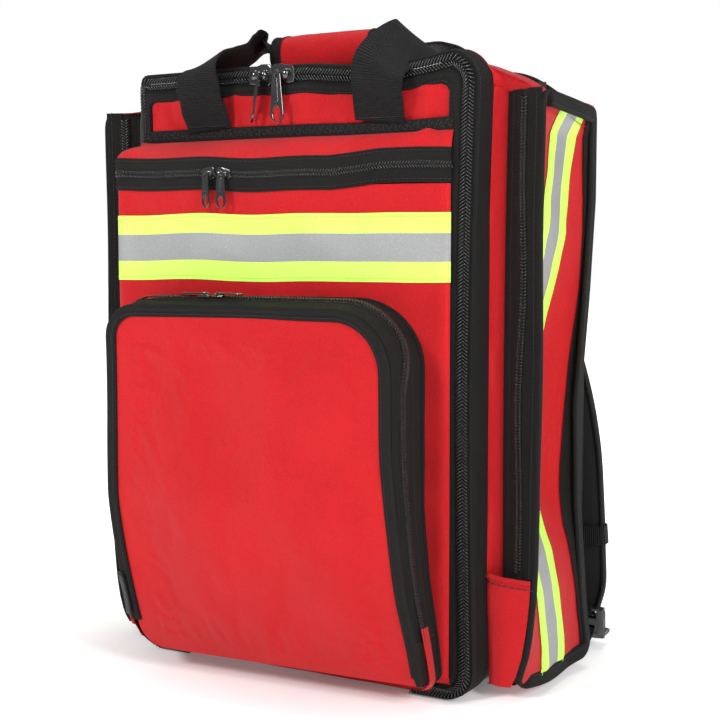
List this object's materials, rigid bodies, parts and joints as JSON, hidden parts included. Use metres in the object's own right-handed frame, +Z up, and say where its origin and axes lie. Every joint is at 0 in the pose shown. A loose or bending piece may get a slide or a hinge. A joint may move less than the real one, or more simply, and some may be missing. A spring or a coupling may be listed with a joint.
{
  "type": "trauma backpack",
  "caption": "soft red emergency trauma backpack with a floor-hinged clamshell lid, stacked front pockets, side pockets, reflective tape, carry handles and a padded shoulder harness",
  "frame": {"origin": "on the floor, at the centre of the flat base", "axes": "+Z up, -Y out of the lid, +Y towards the wearer's back, +X to the right when looking at the lid"},
  "size_m": [0.3888, 0.2613, 0.499],
  "materials": {
    "red_fabric": "matt twill",
    "black_tape": "woven tape",
    "black_webbing": "ribbed webbing",
    "spacer_mesh": "air mesh over foam",
    "lining": "net and lining",
    "reflective_tape": "fluorescent with a grey band",
    "stiffener_board": "sheet",
    "black_metal": "gloss black",
    "buckle_plastic": "moulded"
  },
  "bodies": {
    "pack_body": {"main_shell": "red_fabric", "front_frame": "red_fabric", "main_zip_pack_half": "black_tape", "lid_hinge_strip": "black_tape", "base_board": "stiffener_board", "back_panel": "spacer_mesh", "frame_sheet": "stiffener_board", "spine_pad": "spacer_mesh", "lumbar_pad": "spacer_mesh", "harness_yoke": "black_webbing", "strap_anchors": "black_webbing", "side_pocket_left": "red_fabric", "side_pocket_right": "red_fabric", "side_bindings": "black_tape", "side_reflective_tapes": "reflective_tape", "side_zips": "black_tape", "side_zip_hems": "red_fabric", "top_shoulders": "red_fabric", "inner_dividers": "lining", "inner_mesh_pocket": "lining", "adjuster_webbing_left": "black_webbing", "adjuster_webbing_right": "black_webbing"},
    "lid": {"lid_panel": "red_fabric", "lid_stiffener": "stiffener_board", "main_zip_lid_half": "black_tape", "lid_binding": "black_tape", "handle_anchor_band": "black_tape", "lid_mesh_pocket": "lining", "upper_pocket": "red_fabric", "upper_zip_lower_tape": "black_tape", "front_reflective_tape": "reflective_tape", "lower_pocket_gusset": "black_tape", "lower_pocket_zip": "black_tape"},
    "upper_flap": {"upper_pocket_flap": "red_fabric"},
    "lower_door": {"lower_pocket_face": "red_fabric", "lower_pocket_door_tape": "black_tape", "side_tag": "black_tape"},
    "front_handle": {"front_handle_strap": "black_webbing", "handle_grip": "red_fabric"},
    "rear_handle": {"rear_handle_strap": "black_webbing"},
    "shoulder_strap_left": {"shoulder_pad_left": "spacer_mesh", "pad_webbing_left": "black_webbing", "ladder_buckle_left": "buckle_plastic"},
    "shoulder_strap_right": {"shoulder_pad_right": "spacer_mesh", "pad_webbing_right": "black_webbing", "ladder_buckle_right": "buckle_plastic"},
    "main_zip_slider_left": {"main_slider_left": "black_metal"},
    "main_zip_pull_left": {"main_pull_left": "black_metal"},
    "main_zip_slider_right": {"main_slider_right": "black_metal"},
    "main_zip_pull_right": {"main_pull_right": "black_metal"},
    "upper_zip_slider_left": {"upper_slider_left": "black_metal"},
    "upper_zip_pull_left": {"upper_pull_left": "black_metal"},
    "upper_zip_slider_right": {"upper_slider_right": "black_metal"},
    "upper_zip_pull_right": {"upper_pull_right": "black_metal"},
    "lower_zip_slider_left": {"lower_slider_left": "black_metal"},
    "lower_zip_pull_left": {"lower_pull_left": "black_metal"},
    "lower_zip_slider_right": {"lower_slider_right": "black_metal"},
    "lower_zip_pull_right": {"lower_pull_right": "black_metal"},
    "side_zip_slider_left": {"side_slider_left": "black_metal"},
    "side_zip_slider_right": {"side_slider_right": "black_metal"}
  },
  "joints": [
    {"name": "lid_hinge", "type": "hinge", "parent": "pack_body", "child": "lid", "pos_m": [0, -0.07, 0], "axis": [1, 0, 0], "range_deg": [0, 170]},
    {"name": "upper_flap_hinge", "type": "hinge", "parent": "lid", "child": "upper_flap", "pos_m": [0, -0.0742, 0.4116], "axis": [-1, 0, 0], "range_deg": [0, 25]},
    {"name": "lower_pocket_hinge", "type": "hinge", "parent": "lid", "child": "lower_door", "pos_m": [0, -0.118, 0.02], "axis": [1, 0, 0], "range_deg": [0, 100]},
    {"name": "front_handle_pivot", "type": "hinge", "parent": "lid", "child": "front_handle", "pos_m": [0, -0.0774, 0.415], "axis": [1, 0, 0], "range_deg": [0, 35]},
    {"name": "rear_handle_pivot", "type": "hinge", "parent": "pack_body", "child": "rear_handle", "pos_m": [0, 0.0756, 0.441], "axis": [-1, 0, 0], "range_deg": [0, 60]},
    {"name": "shoulder_strap_left_hinge", "type": "hinge", "parent": "pack_body", "child": "shoulder_strap_left", "pos_m": [-0.075, 0.0768, 0.421], "axis": [1, 0, 0], "range_deg": [0, 25]},
    {"name": "shoulder_strap_right_hinge", "type": "hinge", "parent": "pack_body", "child": "shoulder_strap_right", "pos_m": [0.075, 0.0768, 0.421], "axis": [1, 0, 0], "range_deg": [0, 25]},
    {"name": "main_zip_left_slide", "type": "slide", "parent": "lid", "child": "main_zip_slider_left", "axis": [-1, 0, 0], "range_m": [0, 0.075]},
    {"name": "main_pull_left_hinge", "type": "hinge", "parent": "main_zip_slider_left", "child": "main_zip_pull_left", "pos_m": [-0.025, -0.0802, 0.458], "axis": [-1, 0, 0], "range_deg": [0, 110]},
    {"name": "main_zip_right_slide", "type": "slide", "parent": "lid", "child": "main_zip_slider_right", "axis": [1, 0, 0], "range_m": [0, 0.05]},
    {"name": "main_pull_right_hinge", "type": "hinge", "parent": "main_zip_slider_right", "child": "main_zip_pull_right", "pos_m": [-0.009, -0.0802, 0.458], "axis": [-1, 0, 0], "range_deg": [0, 110]},
    {"name": "upper_zip_left_slide", "type": "slide", "parent": "lid", "child": "upper_zip_slider_left", "axis": [-0.9961, -0.0885, 0], "range_m": [0, 0.07]},
    {"name": "upper_pull_left_hinge", "type": "hinge", "parent": "upper_zip_slider_left", "child": "upper_zip_pull_left", "pos_m": [-0.05325, -0.10862, 0.3836], "axis": [-0.9961, -0.0885, 0], "range_deg": [0, 90]},
    {"name": "upper_zip_right_slide", "type": "slide", "parent": "lid", "child": "upper_zip_slider_right", "axis": [0.9961, 0.0885, 0], "range_m": [0, 0.156]},
    {"name": "upper_pull_right_hinge", "type": "hinge", "parent": "upper_zip_slider_right", "child": "upper_zip_pull_right", "pos_m": [-0.04125, -0.10756, 0.3836], "axis": [-0.9961, -0.0885, 0], "range_deg": [0, 90]},
    {"name": "lower_zip_left_slide", "type": "slide", "parent": "lid", "child": "lower_zip_slider_left", "axis": [-1, 0, 0], "range_m": [0, 0.02]},
    {"name": "lower_pull_left_hinge", "type": "hinge", "parent": "lower_zip_slider_left", "child": "lower_zip_pull_left", "pos_m": [-0.044, -0.111, 0.3064], "axis": [0, 1, 0], "range_deg": [0, 90]},
    {"name": "lower_zip_right_slide", "type": "slide", "parent": "lid", "child": "lower_zip_slider_right", "axis": [1, 0, 0], "range_m": [0, 0.09]},
    {"name": "lower_pull_right_hinge", "type": "hinge", "parent": "lower_zip_slider_right", "child": "lower_zip_pull_right", "pos_m": [-0.031, -0.111, 0.3064], "axis": [0, -1, 0], "range_deg": [0, 90]},
    {"name": "side_zip_left_slide", "type": "slide", "parent": "pack_body", "child": "side_zip_slider_left", "axis": [0, 0, 1], "range_m": [0, 0.345]},
    {"name": "side_zip_right_slide", "type": "slide", "parent": "pack_body", "child": "side_zip_slider_right", "axis": [0, 0, 1], "range_m": [0, 0.345]}
  ]
}
